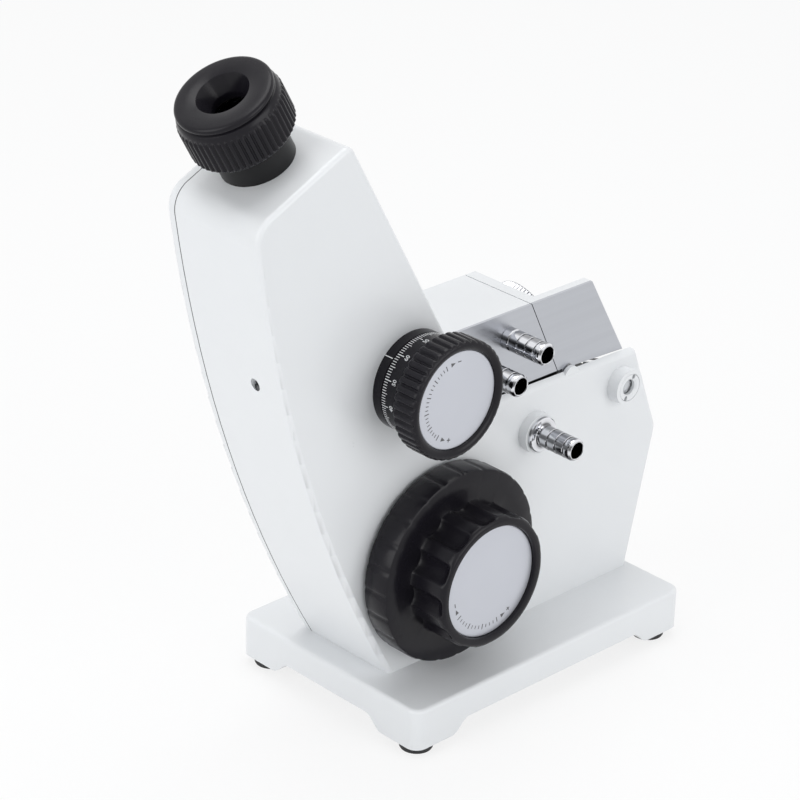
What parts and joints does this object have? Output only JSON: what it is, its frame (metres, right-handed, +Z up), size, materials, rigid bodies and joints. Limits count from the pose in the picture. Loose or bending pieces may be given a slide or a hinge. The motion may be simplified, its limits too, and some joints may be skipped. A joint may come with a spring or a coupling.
{
  "type": "abbe refractometer",
  "caption": "Bench abbe refractometer with leaning telescope, hinged prism seats, water nozzles, dispersion knob, adjustment handwheel and arched base.",
  "frame": {"origin": "middle of the outer box, on the plane that the feet stand on", "axes": "+Z up, +X from the eyepiece towards the prisms, the two hand knobs on the -Y side"},
  "size_m": [0.1934, 0.0882, 0.2371],
  "materials": {
    "white_enamel": "smooth satin enamel",
    "black_plastic": "semi-gloss black",
    "black_anodised": "matt black anodised",
    "silver_disc": "satin silver",
    "chrome_plate": "polished",
    "brushed_steel": "finely brushed",
    "bright_steel": "turned",
    "gear_brass": "machined",
    "foot_rubber": "matt",
    "optical_glass": "polished",
    "mirror_glass": "front silvered"
  },
  "bodies": {
    "stand": {"base_casting": "white_enamel", "body_casting": "white_enamel", "side_cover": "white_enamel", "measuring_prism_seat": "white_enamel", "condenser_retaining_ring": "white_enamel", "dispersion_index_ring": "black_plastic", "eyepiece_sleeve": "black_anodised", "telescope_tube": "black_anodised", "compensator_housing": "black_anodised", "cell_retaining_rings": "black_anodised", "reading_tube": "black_anodised", "scale_mirror_bracket": "black_anodised", "mirror_fork": "black_anodised", "hinge_bracket": "black_anodised", "bearing_bridge": "black_anodised", "prism_hose_nozzles": "chrome_plate", "body_hose_nozzle": "chrome_plate", "fixed_face_plate": "brushed_steel", "base_screws": "bright_steel", "foot_screws": "bright_steel", "cover_screws": "bright_steel", "hinge_pins": "bright_steel", "dispersion_bush": "gear_brass", "adjustment_bush": "gear_brass", "rubber_feet": "foot_rubber", "measuring_prism": "optical_glass", "condenser_lens": "optical_glass", "objective_lens": "optical_glass", "reticle_glass": "optical_glass", "reading_prisms": "optical_glass", "ground_glass": "optical_glass", "scale_light_mirror": "mirror_glass"},
    "dispersion_knob_body": {"dispersion_knob": "black_plastic", "dispersion_knob_disc": "silver_disc", "dispersion_scale_ring": "black_plastic", "dispersion_shaft": "bright_steel", "dispersion_bevel_gear": "gear_brass"},
    "upper_cell_body": {"upper_amici_cell": "black_anodised", "upper_amici_prism": "optical_glass"},
    "lower_cell_body": {"lower_amici_cell": "black_anodised", "lower_amici_prism": "optical_glass"},
    "handwheel_body": {"adjustment_handwheel": "black_plastic", "adjustment_disc": "silver_disc", "adjustment_pinion_shaft": "bright_steel"},
    "scale_body": {"scale_arbor": "bright_steel", "scale_disc": "optical_glass", "scale_gear_sector": "gear_brass"},
    "swing_mirror_body": {"mirror_carrier": "black_anodised", "swing_mirror": "mirror_glass", "mirror_gear_sector": "gear_brass"},
    "lid_body": {"lighting_prism_seat": "white_enamel", "lid_face_plate": "brushed_steel", "lighting_prism": "optical_glass"},
    "lock_wheel_body": {"lock_wheel": "chrome_plate"},
    "reflector_body": {"reflecting_mirror_frame": "black_anodised", "reflecting_mirror": "mirror_glass"},
    "eyepiece_barrel_body": {"eyepiece_barrel": "black_anodised", "eyepiece_lenses": "optical_glass"},
    "eyepiece_cap_body": {"eyepiece_cap": "black_plastic"},
    "calibration_screw_body": {"calibration_screw": "chrome_plate"}
  },
  "joints": [
    {"name": "dispersion_knob_turn", "type": "hinge", "parent": "stand", "child": "dispersion_knob_body", "pos_m": [-0.02423, -0.03313, 0.1258], "axis": [0, 1, 0], "continuous": true},
    {"name": "upper_cell_turn", "type": "hinge", "parent": "stand", "child": "upper_cell_body", "pos_m": [-0.02423, 0.00647, 0.1258], "axis": [-0.4955, 0, 0.8686], "continuous": true},
    {"name": "lower_cell_turn", "type": "hinge", "parent": "stand", "child": "lower_cell_body", "pos_m": [-0.02423, 0.00647, 0.1258], "axis": [-0.4955, 0, 0.8686], "continuous": true},
    {"name": "handwheel_turn", "type": "hinge", "parent": "stand", "child": "handwheel_body", "pos_m": [-0.01013, -0.03313, 0.0573], "axis": [0, 1, 0], "range_deg": [-150, 150]},
    {"name": "scale_turn", "type": "hinge", "parent": "stand", "child": "scale_body", "pos_m": [-0.03327, 0.00187, 0.08262], "axis": [0, 1, 0], "range_deg": [-25.01, 25.01]},
    {"name": "mirror_turn", "type": "hinge", "parent": "stand", "child": "swing_mirror_body", "pos_m": [-0.00639, 0.00187, 0.09453], "axis": [0, 1, 0], "range_deg": [-5.01, 5.01]},
    {"name": "lid_hinge", "type": "hinge", "parent": "stand", "child": "lid_body", "pos_m": [0.05227, 0.00187, 0.1055], "axis": [0, 1, 0], "range_deg": [0, 80]},
    {"name": "lock_wheel_turn", "type": "hinge", "parent": "lid_body", "child": "lock_wheel_body", "pos_m": [0.0435, 0.00187, 0.12363], "axis": [0.8957, 0, 0.4446], "range_deg": [-180, 180]},
    {"name": "reflector_tilt", "type": "hinge", "parent": "stand", "child": "reflector_body", "pos_m": [0.07427, 0.00187, 0.0621], "axis": [0, 1, 0], "range_deg": [-45, 60]},
    {"name": "eyepiece_focus", "type": "slide", "parent": "stand", "child": "eyepiece_barrel_body", "axis": [-0.4955, 0, 0.8686], "range_m": [-0.00205, 0.00205]},
    {"name": "eyepiece_cap_turn", "type": "hinge", "parent": "eyepiece_barrel_body", "child": "eyepiece_cap_body", "pos_m": [-0.07873, 0.00647, 0.22135], "axis": [-0.4955, 0, 0.8686], "range_deg": [-180, 180]},
    {"name": "calibration_turn", "type": "hinge", "parent": "stand", "child": "calibration_screw_body", "pos_m": [-0.07833, -0.00413, 0.1356], "axis": [-0.96, 0, 0.28], "range_deg": [-180, 180]}
  ],
  "couplings": [
    {"joint": "upper_cell_turn", "follows": "dispersion_knob_turn", "ratio": 1},
    {"joint": "lower_cell_turn", "follows": "dispersion_knob_turn", "ratio": -1},
    {"joint": "scale_turn", "follows": "handwheel_turn", "ratio": -0.16667},
    {"joint": "mirror_turn", "follows": "handwheel_turn", "ratio": 0.033333},
    {"joint": "eyepiece_focus", "follows": "eyepiece_cap_turn", "m_per_rad": 0.00063662}
  ]
}
